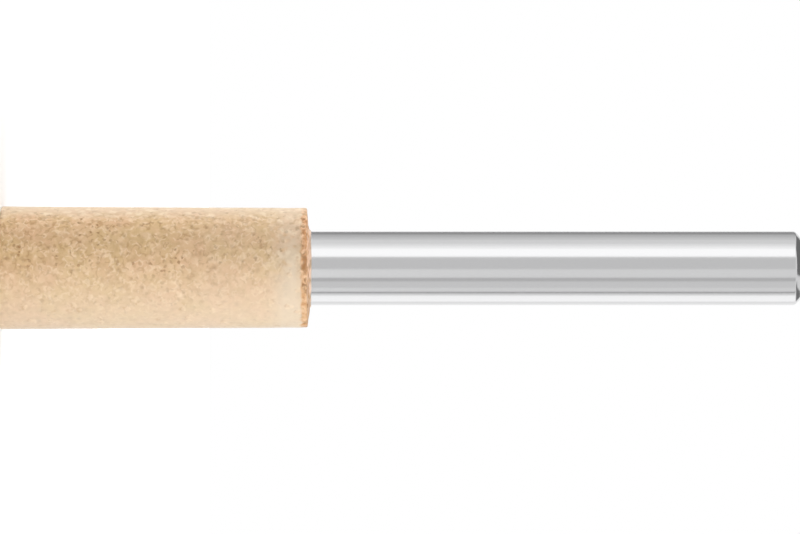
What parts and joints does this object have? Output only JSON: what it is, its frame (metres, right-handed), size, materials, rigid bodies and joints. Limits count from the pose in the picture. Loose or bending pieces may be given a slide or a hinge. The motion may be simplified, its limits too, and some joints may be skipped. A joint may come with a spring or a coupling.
{
  "type": "mounted point",
  "caption": "Cylindrical mounted point for fine grinding: a tan bonded abrasive body cemented on a plain straight steel shank with a chamfered end.",
  "frame": {"origin": "centre of the grinding body's flat front face, which the point stands on", "axes": "+Z along the tool's axis from the front face to the shank's free end; X and Y are alike by symmetry"},
  "size_m": [0.01, 0.01, 0.065],
  "materials": {
    "abrasive": "matte",
    "steel": "satin",
    "cement": "matte"
  },
  "bodies": {
    "root": {"grinding_body": "abrasive", "shank": "steel", "cement": "cement"}
  },
  "joints": []
}
